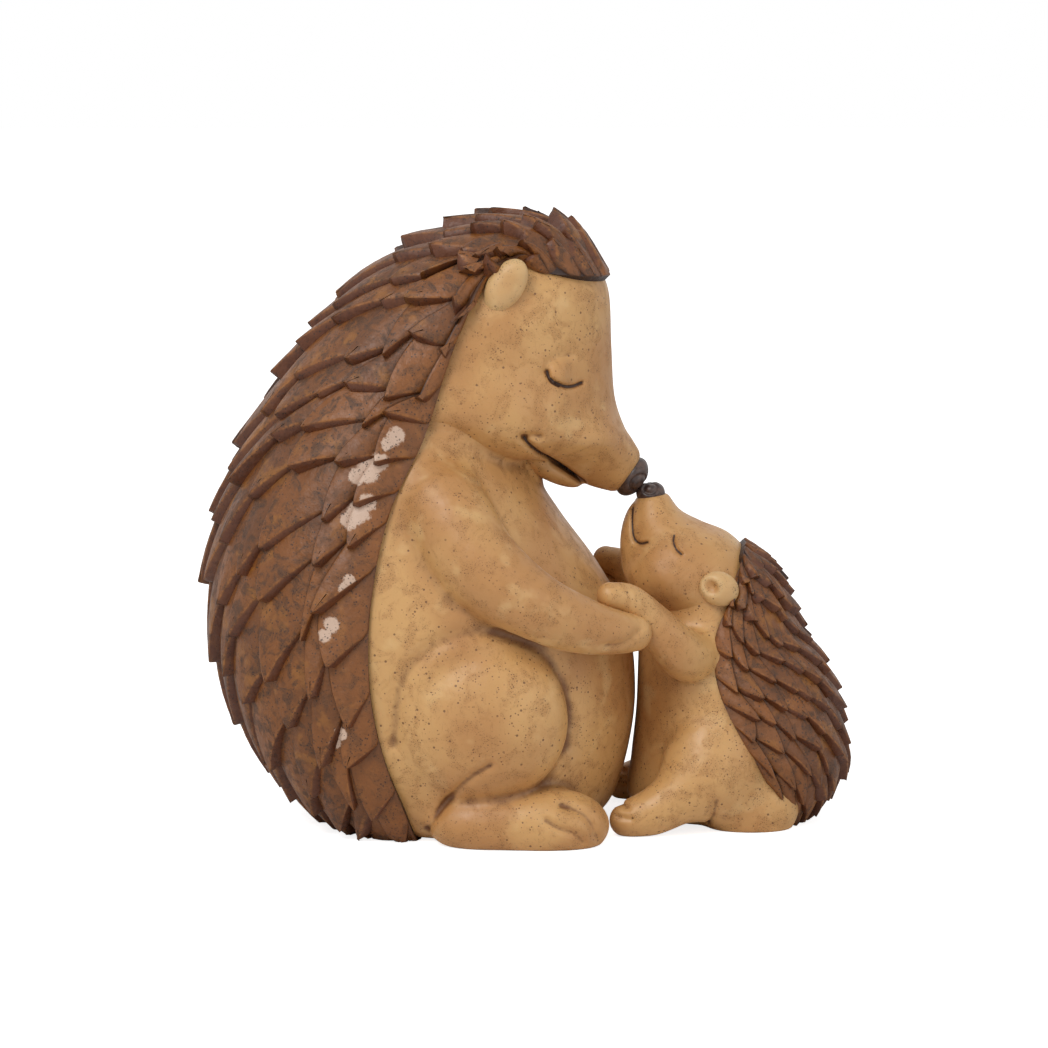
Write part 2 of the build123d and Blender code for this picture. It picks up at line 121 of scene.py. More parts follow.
# Rounded lumps: centre, radii and the lean towards +X in degrees
MOTHER_CHEEK = ((-7.0, -13.0, 104.5), (15.5, 13.5, 10.5), 20)
MOTHER_JAW = ((4.2, 0.0, 90.3), (11.3, 8.8, 3.7), 30)
MOTHER_HAUNCH = ((-11.6, -34.6, 31.0), (21.8, 13.2, 21.0), 0)
MOTHER_HEEL_PAD = ((-7.0, -35.4, 5.6), (17.5, 9.0, 8.0), 0)
MOTHER_TOE_PAD = ((7.0, -34.6, 5.0), (13.4, 9.6, 8.8), 0)
MOTHER_EAR = ((-5.0, -23.6, 136.3), (4.5, 3.6, 7.4), 33)
BABY_CHEEK = ((35.5, -9.5, 63.0), (7.5, 8.5, 6.5), 30)
BABY_JAW = ((26.6, 0.0, 71.0), (8.4, 6.0, 3.0), 95)
BABY_HAUNCH = ((46.5, -18.5, 16.0), (12.6, 8.2, 13.6), 0)
BABY_HIP = ((56.0, -14.0, 6.0), (12.0, 8.0, 11.0), 0)
BABY_EAR = ((47.6, -17.4, 60.8), (5.0, 3.0, 4.3), 20)
BABY_EAR_BOWL = ((45.0, -21.2, 62.0), (2.9, 2.6, 2.2), 40)

# Soft swellings and hollows of the skin: centre, radius and height
MOTHER_EYEBALL = ((9.4, -23.5, 114.6), 3.6, 1.5)
MOTHER_UNDER_EYE = ((8.8, -24.0, 107.4), 5.0, 0.6)
MOTHER_EAR_BOWL = ((-4.2, -28.2, 137.4), 3.6, -0.9)
BABY_EYEBALL = ((38.8, -17.0, 71.4), 2.6, 0.8)

# Noses: x and z of the centre, the way that they face, and the radii with the depth last
MOTHER_NOSE = ((26.4, 86.5), (0.82, -0.57), (5.4, 5.1, 3.6))
BABY_NOSE = ((31.1, 82.4), (-0.1, 0.99), (3.8, 4.0, 2.9))

# Lines drawn on the side view: x and z
MOTHER_EYE = [(5.1, 115.2), (5.7, 113.6), (7.4, 112.3), (9.6, 111.3), (11.5, 111.2), (13.5, 111.8)]
MOTHER_LASH = [(5.2, 114.4), (6.1, 112.7), (8.0, 111.5)]
MOTHER_LID = [(4.4, 115.2), (5.6, 117.4), (7.9, 118.9), (10.8, 119.0)]
MOTHER_MOUTH = [(-0.5, 99.4), (0.7, 97.6), (4.2, 94.0), (8.9, 90.0), (12.2, 87.2), (14.2, 85.6)]
MOTHER_MOUTH_CORNER = [(-0.8, 99.8), (1.2, 99.9), (3.4, 99.6)]
MOTHER_FINGER = [(19.0, 50.4), (23.3, 50.6), (27.8, 53.4)]
MOTHER_INNER_TOE = [(5.0, 7.8), (7.5, 6.2), (11.3, 4.6), (13.9, 2.2)]
MOTHER_OUTER_TOE = [(8.5, 11.0), (13.3, 9.2), (16.0, 6.2), (17.2, 2.6)]
MOTHER_HEEL = [(-8.6, 22.0), (-14.0, 18.2), (-19.0, 12.2), (-24.0, 4.0)]
MOTHER_THIGH = [
    (-32.0, 27.0),
    (-30.0, 42.0),
    (-21.0, 51.5),
    (-9.0, 53.5),
    (3.5, 48.0),
    (9.8, 37.0),
    (9.6, 24.0),
]
BABY_EYE = [(36.7, 73.2), (36.5, 71.8), (37.1, 70.3), (38.4, 69.1)]
BABY_MOUTH = [(26.7, 78.8), (26.5, 75.2), (26.9, 71.9), (28.2, 70.7), (30.2, 71.3)]
BABY_UPPER_TOE = [(22.0, 8.2), (25.2, 7.6)]
BABY_LOWER_TOE = [(22.6, 5.4), (26.0, 5.0)]
BABY_HEEL = [(47.0, 9.5), (46.4, 5.5), (45.0, 1.5)]

# Grooves along lines: depth, width and how far out from the plane of symmetry they start
MOTHER_FACE_GROOVES = [
    (MOTHER_EYE, 1.2, 0.6, 10.0),
    (MOTHER_LID, 0.5, 1.2, 10.0),
    (MOTHER_MOUTH, 1.5, 0.8, 1.0),
    (MOTHER_MOUTH_CORNER, 0.9, 0.9, 10.0),
]
MOTHER_FOOT_GROOVES = [
    (MOTHER_INNER_TOE, 1.1, 0.9, 30.0),
    (MOTHER_OUTER_TOE, 1.1, 0.9, 30.0),
    (MOTHER_HEEL, 1.0, 1.0, 30.0),
    (MOTHER_FINGER, 0.8, 0.8, 24.0),
]
BABY_FACE_GROOVES = [(BABY_EYE, 0.7, 0.45, 8.0), (BABY_MOUTH, 0.8, 0.5, 1.0)]
BABY_FOOT_GROOVES = [
    (BABY_UPPER_TOE, 0.7, 0.6, 17.0),
    (BABY_LOWER_TOE, 0.7, 0.6, 17.0),
    (BABY_HEEL, 0.8, 0.7, 17.0),
]

# Lines painted dark, how far out they start, and how much finer than a full stroke they are
MOTHER_INK = [(MOTHER_EYE, 10.0), (MOTHER_LASH, 10.0), (MOTHER_MOUTH, 1.0)]
MOTHER_INK_FINENESS = 1.25
BABY_INK = [(BABY_EYE, 8.0), (BABY_MOUTH, 0.8)]
BABY_INK_FINENESS = 1.7

# The mother's head stays under her coat: below a level, and below a slant at the nape
CROWN_LEVEL = 141.0
NAPE_SLANT = ((-14.0, 139.0), (-0.7, 0.7))
# A neck is the head drawn in a little and cut off: below a level, and behind a slant at the mouth
NECK_INSET = 0.5
MOTHER_NECK_LEVEL = 110.0
MOUTH_SLANT = ((-5.0, 99.0), (0.826, 0.563))
BABY_NECK_LEVEL = 66.0


# Curves through the rows of a table


def smooth_rows(rows, places):
    """Rows of a table on a smooth curve, at places counted from its first row."""
    rows = np.asarray(rows, float)
    padded = np.vstack([2 * rows[0] - rows[1], rows, 2 * rows[-1] - rows[-2]])
    places = np.clip(np.asarray(places, float), 0, len(rows) - 1)
    index = np.minimum(places.astype(int), len(rows) - 2)
    part = (places - index)[..., None]
    before, start, end, after = (padded[index + step] for step in range(4))
    return (
        start
        + (end - before) * part / 2
        + (2 * before - 5 * start + 4 * end - after) * part**2 / 2
        + (3 * start - before - 3 * end + after) * part**3 / 2
    )


def fine_rows(rows, count):
    return smooth_rows(rows, np.linspace(0, len(rows) - 1, count))


def in_millimetres(shares, size):
    height, width, middle_x = size
    rings = np.array(shares) * (height, height, height, height, width)
    return rings + (middle_x, 0, middle_x, 0, 0)


# Solid forms as distance fields: negative inside, in millimetres. A field is worked out on the
# near half of a grid and mirrored.

BODY_RINGS = 140
LIMB_PIECES = 26
PIECES_PER_LINE_POINT = 6
LEAST_SLOPE = 0.012


class Grid:
    """A grid of points, with its axes ready for broadcasting."""

    def __init__(self, low, high, step):
        self.step = step
        self.origin = np.array(low, float)
        counts = [int(round((h - l) / step)) + 1 for l, h in zip(low, high)]
        self.axes = [l + step * np.arange(n) for l, n in zip(low, counts)]
        self.x = self.axes[0][:, None, None]
        self.y = self.axes[1][None, :, None]
        self.z = self.axes[2][None, None, :]


def half_grid(low, high, step):
    """A grid from low to high, x and z, and from low y to the plane of symmetry."""
    steps = math.ceil(-low[1] / step)
    return Grid((low[0], -steps * step, low[2]), (high[0], 0.0, high[1]), step)


def soft_min(a, b, softness):
    """The union of two fields, with a fillet."""
    share = np.clip(0.5 + 0.5 * (b - a) / softness, 0, 1)
    return b * (1 - share) + a * share - softness * share * (1 - share)


def soft_max(a, b, softness):
    """The part that two fields share, with a rounded edge."""
    return -soft_min(-a, -b, softness)


def as_distance(value, step):
    """A field divided by its slope, so that it grows by about 1 for each millimetre."""
    slope = np.sqrt(sum(s**2 for s in np.gradient(value, step)))
    return value / np.maximum(slope, LEAST_SLOPE)


def ring_body(grid, rings, end_softness):
    """The distance field of ellipses strung along a curve in the side view."""
    fine = fine_rows(rings, BODY_RINGS)
    start = fine[:, 0:2]
    along = fine[:, 2:4] - start
    length = np.linalg.norm(along, axis=1)
    along = along / length[:, None]
    x, z = (a.ravel() for a in np.meshgrid(grid.axes[0], grid.axes[2], indexing="ij"))
    dx = x[:, None] - start[None, :, 0]
    dz = z[:, None] - start[None, :, 1]
    side = along[:, 0] * dz - along[:, 1] * dx
    reach = 2 * (along[:, 0] * dx + along[:, 1] * dz) / length - 1
    crosses = side[:, :-1] * side[:, 1:] <= 0
    index = np.argmin(np.where(crosses, np.abs(reach[:, :-1]), np.inf), axis=1)
    row = np.arange(len(x))
    found = crosses[row, index]
    first, last = np.abs(side[:, 0]), np.abs(side[:, -1])
    near_end = np.where(first < last, 0, len(fine) - 2)
    index = np.where(found, index, near_end)
    a, b = side[row, index], side[row, index + 1]
    part = np.where(found, a / np.where(a == b, 1, a - b), np.where(first < last, 0.0, 1.0))
    t = reach[row, index] * (1 - part) + reach[row, index + 1] * part
    half = fine[index, 4] * (1 - part) + fine[index + 1, 4] * part
    beyond = np.where(found, -np.minimum(first, last), np.minimum(first, last))
    shape = (len(grid.axes[0]), 1, len(grid.axes[2]))
    t, half, beyond = (v.reshape(shape) for v in (t, half, beyond))
    value = np.sqrt(t**2 + (grid.y / half) ** 2) - 1
    return soft_max(as_distance(value, grid.step), beyond, end_softness)


def ellipsoid(grid, centre, radii, lean):
    """An ellipsoid that leans in the side view by an angle in degrees towards +X."""
    dx, dy, dz = grid.x - centre[0], grid.y - centre[1], grid.z - centre[2]
    turn = math.radians(lean)
    dx, dz = dx * math.cos(turn) - dz * math.sin(turn), dz * math.cos(turn) + dx * math.sin(turn)
    near = np.sqrt((dx / radii[0]) ** 2 + (dy / radii[1]) ** 2 + (dz / radii[2]) ** 2)
    far = np.sqrt(sum((d / r**2) ** 2 for d, r in zip((dx, dy, dz), radii)))
    return near * (near - 1) / np.maximum(far, 1e-6)


def limb(grid, stations):
    """A round limb through stations of x, y, z and radius."""
    points = fine_rows(stations, LIMB_PIECES)
    field = np.inf
    for start, end in zip(points[:-1], points[1:]):
        run = end - start
        length = (run[:3] ** 2).sum()
        dx, dy, dz = grid.x - start[0], grid.y - start[1], grid.z - start[2]
        share = np.clip((dx * run[0] + dy * run[1] + dz * run[2]) / length, 0, 1)
        away = (dx - share * run[0]) ** 2 + (dy - share * run[1]) ** 2 + (dz - share * run[2]) ** 2
        field = np.minimum(field, np.sqrt(away) - (start[3] + share * run[3]))
    return field


def beyond_slant(grid, place, facing):
    """The distance beyond a plane through a place, with the way that it faces in the side view."""
    return (grid.x - place[0]) * facing[0] + (grid.z - place[1]) * facing[1]


def line_distance(x, z, points):
    """The distance in the side view from a line through points."""
    points = fine_rows(points, PIECES_PER_LINE_POINT * len(points))
    best = np.inf
    for (ax, az), (bx, bz) in zip(points[:-1], points[1:]):
        run = (bx - ax) ** 2 + (bz - az) ** 2
        share = np.clip(((x - ax) * (bx - ax) + (z - az) * (bz - az)) / run, 0, 1)
        away = np.hypot(x - ax - share * (bx - ax), z - az - share * (bz - az))
        best = np.minimum(best, away)
    return best


def carve(grid, field, grooves):
    """Sinks grooves into the surface along lines drawn in the side view."""
    for points, depth, width, clear in grooves:
        away = line_distance(grid.x, grid.z, points)
        field = field + np.where(grid.y <= -clear, depth * np.exp(-((away / width) ** 2)), 0)
    return field


def swell(grid, field, centre, radius, height):
    """Raises the surface softly round a point, or sinks it where the height is negative."""
    away = (grid.x - centre[0]) ** 2 + (grid.y - centre[1]) ** 2 + (grid.z - centre[2]) ** 2
    return field - height * np.exp(-away / radius**2)


# Meshes. The skin's points carry values for the paint: how deep they lie in a crease, which sets
# painted shade there, their distance from a painted line, and 1 where the wash is light. The reach is
# in grid steps.

CREASE_REACH = 3
FAR_FROM_INK = 9.0


def blurred(field, reach):
    """The mean of a field over a small cube round each point."""
    for axis in range(3):
        padding = [(0, 0)] * 3
        padding[axis] = (reach + 1, reach)
        total = np.cumsum(np.pad(field, padding, mode="edge"), axis=axis)
        count = field.shape[axis]
        high = np.take(total, np.arange(2 * reach + 1, 2 * reach + 1 + count), axis=axis)
        low = np.take(total, np.arange(count), axis=axis)
        field = (high - low) / (2 * reach + 1)
    return field


def sampled(field, places):
    """A field's values at places counted in grid steps."""
    places = np.clip(places, 0, np.array(field.shape) - 1.001)
    base = places.astype(int)
    part = places - base
    value = 0
    for dx in (0, 1):
        for dy in (0, 1):
            for dz in (0, 1):
                weight = np.abs(1 - np.array((dx, dy, dz)) - part).prod(axis=1)
                value = value + weight * field[base[:, 0] + dx, base[:, 1] + dy, base[:, 2] + dz]
    return value


def surface(grid, field):
    """Points, faces and crease values of the closed surface where a field is zero."""
    field = field.astype(np.float32)
    field[[0, -1]] = field[:, [0, -1]] = field[:, :, [0, -1]] = 1.0
    volume = openvdb.FloatGrid(1.0)
    volume.copyFromArray(field)
    places, quads = volume.convertToQuads(0.0)
    crease = -sampled(blurred(field, CREASE_REACH), places)
    return places * grid.step + grid.origin, quads[:, ::-1], crease


def mesh_piece(name, points, faces, values):
    """An object from points in millimetres, with a value for each point."""
    mesh = bpy.data.meshes.new(name)
    mesh.from_pydata((points * MM).tolist(), [], faces if isinstance(faces, list) else faces.tolist())
    for key, value in values.items():
        attribute = mesh.attributes.new(key, "FLOAT", "POINT")
        attribute.data.foreach_set("value", np.asarray(value, np.float32))
    mesh.shade_smooth()
    mesh.update()
    piece = bpy.data.objects.new(name, mesh)
    bpy.context.scene.collection.objects.link(piece)
    return piece


def sculpted(name, grid, half, inked=(), fineness=1.0):
    """A piece that is symmetric, from the near half of its field."""
    points, quads, crease = surface(grid, np.concatenate([half, half[:, -2::-1]], axis=1))
    ink = np.full(len(points), FAR_FROM_INK)
    for line, clear in inked:
        away = line_distance(points[:, 0], points[:, 2], line) * fineness
        ink = np.where(np.abs(points[:, 1]) >= clear, np.minimum(ink, away), ink)
    return mesh_piece(name, points, quads, {"crease": crease, "ink": ink})


def paired(name, grid, field):
    """A light piece on the near side, which is the mother's right, and its mirror image."""
    points, quads, crease = surface(grid, field)
    ink = np.full(len(points), FAR_FROM_INK)
    values = {"crease": crease, "ink": ink, "light": np.ones(len(points))}
    near = mesh_piece(name + "_right", points, quads, values)
    far = mesh_piece(name + "_left", points * (1, -1, 1), quads[:, ::-1], values)
    return near, far


# The tan parts. The steps of the grids are finer where the forms are smaller.


def mother_head_field(grid):
    head = ring_body(grid, in_millimetres(MOTHER_HEAD_SHARES, MOTHER_SIZE), end_softness=2.0)
    head = soft_min(head, ellipsoid(grid, *MOTHER_CHEEK), softness=7.0)
    head = soft_min(head, ellipsoid(grid, *MOTHER_JAW), softness=0.9)
    under_coat = np.maximum(grid.z - CROWN_LEVEL, beyond_slant(grid, *NAPE_SLANT))
    return soft_max(head, under_coat, softness=1.0)


def mother_face():
    grid = half_grid(low=(-28.0, -30.0, 80.0), high=(32.0, 149.0), step=0.5)
    face = mother_head_field(grid)
    face = swell(grid, face, *MOTHER_EYEBALL)
    face = swell(grid, face, *MOTHER_UNDER_EYE)
    face = carve(grid, face, MOTHER_FACE_GROOVES)
    return sculpted("mother_face", grid, face, MOTHER_INK, MOTHER_INK_FINENESS)


def mother_body():
    grid = half_grid(low=(-78.0, -51.0, -2.1), high=(34.0, 114.0), step=0.7)
    body = ring_body(grid, in_millimetres(MOTHER_TORSO_SHARES, MOTHER_SIZE), end_softness=3.0)
    cut = np.maximum(grid.z - MOTHER_NECK_LEVEL, beyond_slant(grid, *MOUTH_SLANT))
    neck = soft_max(mother_head_field(grid) + NECK_INSET, cut, softness=2.0)
    body = soft_min(body, neck, softness=4.0)
    body = soft_min(body, limb(grid, MOTHER_ARM), softness=2.6)
    body = carve(grid, body, [(MOTHER_THIGH, 1.2, 2.2, 28.0)])
    body = soft_min(body, ellipsoid(grid, *MOTHER_HAUNCH), softness=1.2)
    heel, toes = ellipsoid(grid, *MOTHER_HEEL_PAD), ellipsoid(grid, *MOTHER_TOE_PAD)
    body = soft_min(body, soft_min(heel, toes, softness=5.0), softness=2.4)
    body = carve(grid, body, MOTHER_FOOT_GROOVES)
    body = soft_max(body, -grid.z, softness=0.6)
    return sculpted("mother_body", grid, body)


def mother_ear():
    grid = Grid(low=(-14.0, -32.0, 124.0), high=(5.0, -14.0, 148.0), step=0.35)
    return grid, swell(grid, ellipsoid(grid, *MOTHER_EAR), *MOTHER_EAR_BOWL)


def baby_head_field(grid):
    head = ring_body(grid, in_millimetres(BABY_HEAD_SHARES, BABY_SIZE), end_softness=1.4)
    return soft_min(head, ellipsoid(grid, *BABY_JAW), softness=1.6)


def baby_face():
    grid = half_grid(low=(20.0, -20.0, 48.0), high=(64.0, 87.0), step=0.4)
    face = soft_min(baby_head_field(grid), ellipsoid(grid, *BABY_CHEEK), softness=5.0)
    face = swell(grid, face, *BABY_EYEBALL)
    face = carve(grid, face, BABY_FACE_GROOVES)
    return sculpted("baby_face", grid, face, BABY_INK, BABY_INK_FINENESS)


def baby_body():
    grid = half_grid(low=(14.0, -36.0, -2.0), high=(76.0, 70.0), step=0.5)
    body = ring_body(grid, in_millimetres(BABY_TORSO_SHARES, BABY_SIZE), end_softness=2.0)
    neck = soft_max(baby_head_field(grid) + NECK_INSET, grid.z - BABY_NECK_LEVEL, softness=1.5)
    body = soft_min(body, neck, softness=3.0)
    body = soft_min(body, limb(grid, BABY_ARM), softness=1.6)
    leg = soft_min(ellipsoid(grid, *BABY_HAUNCH), limb(grid, BABY_LEG), softness=4.0)
    body = soft_min(body, leg, softness=2.0)
    body = soft_min(body, ellipsoid(grid, *BABY_HIP), softness=3.0)
    body = carve(grid, body, BABY_FOOT_GROOVES)
    body = soft_max(body, -grid.z, softness=0.5)
    return sculpted("baby_body", grid, body)


def baby_ear():
    grid = Grid(low=(41.0, -24.0, 52.0), high=(55.0, -10.0, 68.0), step=0.3)
    bowl = ellipsoid(grid, *BABY_EAR_BOWL)
    return grid, soft_max(ellipsoid(grid, *BABY_EAR), -bowl, softness=0.8)


# The noses. Shares are of a nose's radii.

NOSE_STEP = 0.2
NOSE_MARGIN = 1.5
NOSTRIL_OUT_SHARE = 0.55
NOSTRIL_SIDE_SHARE = 0.62
NOSTRIL_RING_SHARE = 0.42
NOSTRIL_GROOVE = (0.7, 0.45)
MIDDLE_GROOVE = (0.5, 0.7)


def nose(name, centre, facing, radii):
    """A dark cap that faces out of the snout, with a curled groove for each nostril."""
    reach = max(radii) + NOSE_MARGIN
    low = (centre[0] - reach, -reach, centre[1] - reach)
    grid = half_grid(low, (centre[0] + reach, centre[1] + reach), NOSE_STEP)
    lean = math.degrees(math.atan2(facing[0], facing[1]))
    field = ellipsoid(grid, (centre[0], 0.0, centre[1]), radii, lean)
    out = NOSTRIL_OUT_SHARE * radii[2]
    nostril_x, nostril_z = centre[0] + facing[0] * out, centre[1] + facing[1] * out
    nostril_y = -radii[1] * NOSTRIL_SIDE_SHARE
    dx, dy, dz = grid.x - nostril_x, grid.y - nostril_y, grid.z - nostril_z
    from_ring = np.sqrt(dx**2 + dy**2 + dz**2) - radii[0] * NOSTRIL_RING_SHARE
    curl = np.clip(0.8 - 0.5 * (dx + dz) / radii[0], 0, 1)
    depth, width = NOSTRIL_GROOVE
    field = field + depth * np.exp(-((from_ring / width) ** 2)) * curl
    depth, width = MIDDLE_GROOVE
    field = field + depth * np.exp(-((grid.y / width) ** 2))
    return sculpted(name, grid, field)


# Coats of overlapping plates. A coat is a surface of rows and columns: row 0 is at the brow or
# the nape and the last at the foot of the back, column 0 runs down the spine and the last
# column each side along the edge of the tan skin. The tables give lines from spine to edge: x
# and z at the spine, x and z at the edge, as shares of the height, and the half width at the
# edge as a share of the width.
MOTHER_COAT_SHARES = [
    (0.136, 0.890, 0.023, 0.903, 0.197),
    (0.062, 0.964, -0.039, 0.923, 0.215),
    (-0.039, 0.977, -0.077, 0.877, 0.257),
    (-0.143, 0.950, -0.118, 0.779, 0.311),
    (-0.231, 0.903, -0.145, 0.695, 0.330),
    (-0.305, 0.831, -0.166, 0.638, 0.356),
    (-0.372, 0.747, -0.190, 0.591, 0.391),
    (-0.429, 0.653, -0.213, 0.539, 0.413),
    (-0.474, 0.555, -0.232, 0.468, 0.436),
    (-0.500, 0.451, -0.245, 0.381, 0.452),
    (-0.504, 0.344, -0.248, 0.296, 0.459),
    (-0.485, 0.240, -0.240, 0.213, 0.454),
    (-0.440, 0.140, -0.221, 0.134, 0.432),
    (-0.372, 0.055, -0.195, 0.062, 0.401),
    (-0.299, 0.000, -0.175, 0.000, 0.319),
]
BABY_COAT_SHARES = [
    (0.006, 0.819, -0.015, 0.756, 0.245),
    (0.078, 0.745, -0.045, 0.670, 0.335),
    (0.126, 0.653, -0.085, 0.574, 0.392),
    (0.164, 0.556, -0.088, 0.479, 0.424),
    (0.222, 0.467, -0.069, 0.398, 0.455),
    (0.263, 0.372, -0.034, 0.323, 0.478),
    (0.286, 0.273, 0.006, 0.251, 0.478),
    (0.292, 0.172, 0.048, 0.177, 0.453),
    (0.245, 0.074, 0.084, 0.095, 0.363),
    (0.173, 0.000, 0.106, 0.000, 0.204),
]

# How the plates are laid and carved: the sheet's thickness under them, a plate's height at its
# tip and at its lowest, the spread of its raised side at the foot, how far its middle bulges
# and the width of its worn edge. end_share and edge_end_share are the height at the far end of
# the raised side as a share of the tip's, at the spine and by the edge. climb is the rows by
# which a row rises to the edge, and jitter how far a tip is out of place in rows and columns.
MOTHER_LOOK = {
    "rows": 30,
    "half_columns": 7,
    "seed": 11,
    "sheet": 4.0,
    "tip": 3.0,
    "end_share": 0.3,
    "edge_end_share": 0.1,
    "low": 0.15,
    "wall": 1.5,
    "bulge": 0.25,
    "bevel": 0.7,
    "climb": 3.0,
    "jitter": 0.38,
}
BABY_LOOK = {
    "rows": 19,
    "half_columns": 9,
    "seed": 5,
    "sheet": 2.5,
    "tip": 2.1,
    "end_share": 0.5,
    "edge_end_share": 0.2,
    "low": 0.1,
    "wall": 1.15,
    "bulge": 0.15,
    "bevel": 0.4,
    "climb": 0.4,
    "jitter": 0.3,
}

# The power by which the first rows lie closer together, and how rows climb to the edge
CROWDING = 1.15
CLIMB_CURVE = 1.6
FULL_CLIMB_ROW = 10
LEAST_CLIMB_SHARE = 0.25
# Small steps, in columns and in rows, over which a coat's slope is measured
COLUMN_STEP = 0.02
ROW_STEP = 0.05
SHEET_LINES_PER_ROW = 3
SHEET_COLUMNS = 41
# Rows of the lattice before row 0 and after the last, and of plates whose tips pass the last
ROWS_BEFORE = 4
ROWS_AFTER = 10
HANGING_ROWS = 5
LEAST_PLATE_LENGTH = 1.5
LEAST_PLATE_WIDTH = 0.8
LEAST_WALL = 0.12
UNEVENNESS_SHARE = 0.2
SHARPEST_FOLD = 34


class Coat:
    """The smooth surface under a coat's plates, by row and column."""

    def __init__(self, shares, size, look):
        self.table = in_millimetres(shares, size)
        self.rows, self.half_columns = look["rows"], look["half_columns"]
        self.columns = self.half_columns / 2
        spine, edge = self.points(self.rows / 2, 0.0), self.points(self.rows / 2, self.columns)
        self.faces_back = 1.0 if spine[0] < edge[0] else -1.0

    def points(self, row, column):
        """Points on the near side where the column is positive, and on the far side else."""
        row = np.maximum(np.asarray(row, float), 0)
        last = len(self.table) - 1
        station = last * (row / self.rows) ** CROWDING
        line = smooth_rows(self.table, station)
        step = self.table[-1] - self.table[-2]
        line = line + step * np.maximum(station - last, 0)[..., None]
        turn = np.clip(np.asarray(column, float) / self.columns, -1, 1) * math.pi / 2
        away = 1 - np.cos(turn)
        x = line[..., 0] + (line[..., 2] - line[..., 0]) * away
        z = line[..., 1] + (line[..., 3] - line[..., 1]) * away
        return np.stack([x, -line[..., 4] * np.sin(turn), z], axis=-1)

    def lifted(self, row, column, height):
        """Points moved off the surface, square to it."""
        row, column = np.asarray(row, float), np.asarray(column, float)
        inner = np.clip(column, COLUMN_STEP - self.columns, self.columns - COLUMN_STEP)
        below = np.maximum(row, ROW_STEP)
        by_row = self.points(below + ROW_STEP, inner) - self.points(below - ROW_STEP, inner)
        by_column = self.points(below, inner + COLUMN_STEP) - self.points(below, inner - COLUMN_STEP)
        normal = np.cross(by_row, by_column) * self.faces_back
        normal /= np.maximum(np.linalg.norm(normal, axis=-1, keepdims=True), 1e-9)
        return self.points(row, column) + normal * np.asarray(height)[..., None]


class Shell:
    """Points, faces and values of many closed pieces, gathered into one mesh."""

    def __init__(self, *keys):
        self.points, self.faces, self.count = [], [], 0
        self.values = {key: [] for key in keys}

    def add(self, points, faces, **values):
        self.points.append(points)
        self.faces.extend([tuple(self.count + i for i in face) for face in faces])
        for key, value in values.items():
            self.values[key].append(np.broadcast_to(value, len(points)))
        self.count += len(points)

    def piece(self, name):
        values = {key: np.concatenate(value) for key, value in self.values.items()}
        return mesh_piece(name, np.vstack(self.points), self.faces, values)


def under_skin(shell, coat, thick):
    """The closed sheet that the plates lie on, painted as shade where it shows between them."""
    rows = np.linspace(0, coat.rows, SHEET_LINES_PER_ROW * coat.rows + 1)
    columns = np.linspace(-coat.columns, coat.columns, SHEET_COLUMNS)
    row, column = np.meshgrid(rows, columns, indexing="ij")
    outer = coat.lifted(row, column, np.zeros(row.shape)).reshape(-1, 3)
    inner = coat.lifted(row, column, np.full(row.shape, -thick)).reshape(-1, 3)
    points = np.vstack([outer, inner])
    points[:, 2] = np.maximum(points[:, 2], 0)
    wide, tall = len(columns), len(rows)
    size = wide * tall
    faces = []
    for i in range(tall - 1):
        for j in range(wide - 1):
            square = (i * wide + j, i * wide + j + 1, (i + 1) * wide + j + 1, (i + 1) * wide + j)
            faces.append(square)
            faces.append(tuple(n + size for n in reversed(square)))
    rim = list(range(wide)) + [i * wide + wide - 1 for i in range(1, tall)]
    rim += [size - wide + j for j in range(wide - 2, -1, -1)]
    rim += [i * wide for i in range(tall - 2, 0, -1)]
    for a, b in zip(rim, rim[1:] + rim[:1]):
        faces.append((b, a, a + size, b + size))
    if coat.faces_back < 0:
        faces = [face[::-1] for face in faces]
    # seam 1 and rise -1 paint the sheet dark as shade
    shell.add(points, faces, riser=0.0, seam=1.0, ridge=0.0, tone=0.5, rise=-1.0, edge=0.0)


class Lattice:
    """Where the tips of the plates are, each a little out of its even place."""

    def __init__(self, coat, random, climb, jitter):
        self.climb, self.columns = climb, coat.columns
        shape = (ROWS_BEFORE + coat.rows + ROWS_AFTER, coat.half_columns + 2)
        self.off_row = random.uniform(-1, 1, shape) * jitter
        self.off_column = random.uniform(-0.5, 0.5, shape) * jitter
        self.off_column[:, [0, coat.half_columns]] = 0

    def node(self, row, half_column):
        """The row and column of a tip. The rows climb from the spine to the edge."""
        off = (ROWS_BEFORE + row, half_column)
        to_edge = half_column / 2 / self.columns
        grown = np.clip(row / FULL_CLIMB_ROW, LEAST_CLIMB_SHARE, 1)
        climbed = self.climb * (1 - (1 - to_edge) ** CLIMB_CURVE) * grown
        return np.array([row - climbed + self.off_row[off], half_column / 2 + self.off_column[off]])


def plate_outline():
    """Points round a plate from its tip, and how much each is on its raised side and its seam.

    The points are shares of the raised side and of the plate's length from the tip up.
    """
    raised_side = [(e, -0.2 * (1 - e) ** 1.5 - 0.03) for e in (0.07, 0.2, 0.38, 0.56, 0.74, 0.9)]
    right = [(1.03, 0.02), (1.05, 0.3), (1.06, 0.6), (1.06, 0.9), (1.04, 1.16)]
    root = [(0.7, 1.2), (0.35, 1.2), (0.02, 1.16)]
    left = [(-0.03, 0.9), (-0.07, 0.65), (-0.09, 0.4), (-0.08, 0.15), (-0.045, -0.06)]
    points = np.array([(0.01, -0.21), *raised_side, *right, *root, *left])
    raised, seam = np.zeros(len(points)), np.zeros(len(points))
    raised[0:8] = (0.5, 0.9, 1, 1, 1, 0.9, 0.6, 0.2)
    seam[-len(left) :] = 1
    seam[0] = 0.5
    return points, raised, seam


OUTLINE_SHARES, RAISED_SHARES, SEAM_SHARES = plate_outline()
